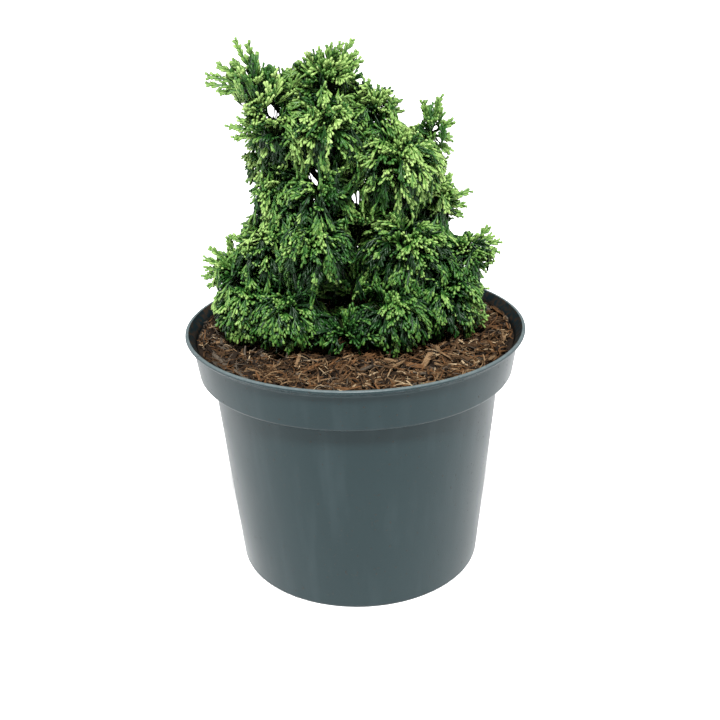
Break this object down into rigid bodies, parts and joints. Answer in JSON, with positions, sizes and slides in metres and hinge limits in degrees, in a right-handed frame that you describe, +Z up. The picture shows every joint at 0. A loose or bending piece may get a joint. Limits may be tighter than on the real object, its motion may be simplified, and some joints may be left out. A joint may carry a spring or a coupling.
{
  "type": "potted dwarf conifer",
  "caption": "Dwarf hinoki cypress with fan-shaped foliage sprays in a round grey nursery pot, its soil mulched with bark.",
  "frame": {"origin": "middle of the pot's underside, on the surface that the pot stands on", "axes": "+Z up the plant; +X to the right of the fuller face of the crown; -Y out of that face, towards the viewer"},
  "size_m": [0.19, 0.19, 0.2957],
  "materials": {
    "pot": "satin, slate grey",
    "soil": "rough bark mulch",
    "trunk": "rough bark",
    "right_stem": "rough bark",
    "top_left_bough": "rough bark",
    "top_bridge_bough": "rough bark",
    "left_shelf_bough": "rough bark",
    "upper_front_bough": "rough bark",
    "right_shoulder_bough": "rough bark",
    "left_flank_bough": "rough bark",
    "waist_front_bough": "rough bark",
    "front_left_bough": "rough bark",
    "left_side_bough": "rough bark",
    "left_tip_bough": "rough bark",
    "low_left_bough": "rough bark",
    "low_front_left_bough": "rough bark",
    "low_front_bough": "rough bark",
    "right_tip_bough": "rough bark",
    "low_front_right_bough": "rough bark",
    "low_right_bough": "rough bark",
    "heart_bough": "rough bark",
    "back_top_bough": "rough bark",
    "back_left_upper_bough": "rough bark",
    "back_right_upper_bough": "rough bark",
    "back_left_bough": "rough bark",
    "back_middle_bough": "rough bark",
    "back_right_bough": "rough bark",
    "top_left_mass": "matt, fresh green",
    "top_bridge_mass": "matt, fresh green",
    "crown_mass": "matt, fresh green",
    "left_shelf_mass": "matt, fresh green",
    "upper_front_mass": "matt, fresh green",
    "right_shoulder_mass": "matt, fresh green",
    "right_horn_mass": "matt, fresh green",
    "right_mid_mass": "matt, fresh green",
    "right_outer_mass": "matt, fresh green",
    "left_flank_mass": "matt, fresh green",
    "waist_front_mass": "matt, fresh green",
    "front_left_mass": "matt, fresh green",
    "left_side_mass": "matt, fresh green",
    "left_tip_mass": "matt, fresh green",
    "low_left_mass": "matt, fresh green",
    "low_front_left_mass": "matt, fresh green",
    "low_front_mass": "matt, fresh green",
    "right_skirt_mass": "matt, fresh green",
    "right_tip_mass": "matt, fresh green",
    "low_front_right_mass": "matt, fresh green",
    "low_right_mass": "matt, fresh green",
    "heart_mass": "matt, fresh green",
    "back_top_mass": "matt, fresh green",
    "back_left_upper_mass": "matt, fresh green",
    "back_right_upper_mass": "matt, fresh green",
    "back_left_mass": "matt, fresh green",
    "back_middle_mass": "matt, fresh green",
    "back_right_mass": "matt, fresh green"
  },
  "bodies": {
    "root": {"pot": "pot", "soil": "soil", "trunk": "trunk", "right_stem": "right_stem", "top_left_bough": "top_left_bough", "top_bridge_bough": "top_bridge_bough", "left_shelf_bough": "left_shelf_bough", "upper_front_bough": "upper_front_bough", "right_shoulder_bough": "right_shoulder_bough", "left_flank_bough": "left_flank_bough", "waist_front_bough": "waist_front_bough", "front_left_bough": "front_left_bough", "left_side_bough": "left_side_bough", "left_tip_bough": "left_tip_bough", "low_left_bough": "low_left_bough", "low_front_left_bough": "low_front_left_bough", "low_front_bough": "low_front_bough", "right_tip_bough": "right_tip_bough", "low_front_right_bough": "low_front_right_bough", "low_right_bough": "low_right_bough", "heart_bough": "heart_bough", "back_top_bough": "back_top_bough", "back_left_upper_bough": "back_left_upper_bough", "back_right_upper_bough": "back_right_upper_bough", "back_left_bough": "back_left_bough", "back_middle_bough": "back_middle_bough", "back_right_bough": "back_right_bough", "top_left_mass": "top_left_mass", "top_bridge_mass": "top_bridge_mass", "crown_mass": "crown_mass", "left_shelf_mass": "left_shelf_mass", "upper_front_mass": "upper_front_mass", "right_shoulder_mass": "right_shoulder_mass", "right_horn_mass": "right_horn_mass", "right_mid_mass": "right_mid_mass", "right_outer_mass": "right_outer_mass", "left_flank_mass": "left_flank_mass", "waist_front_mass": "waist_front_mass", "front_left_mass": "front_left_mass", "left_side_mass": "left_side_mass", "left_tip_mass": "left_tip_mass", "low_left_mass": "low_left_mass", "low_front_left_mass": "low_front_left_mass", "low_front_mass": "low_front_mass", "right_skirt_mass": "right_skirt_mass", "right_tip_mass": "right_tip_mass", "low_front_right_mass": "low_front_right_mass", "low_right_mass": "low_right_mass", "heart_mass": "heart_mass", "back_top_mass": "back_top_mass", "back_left_upper_mass": "back_left_upper_mass", "back_right_upper_mass": "back_right_upper_mass", "back_left_mass": "back_left_mass", "back_middle_mass": "back_middle_mass", "back_right_mass": "back_right_mass"}
  },
  "joints": []
}
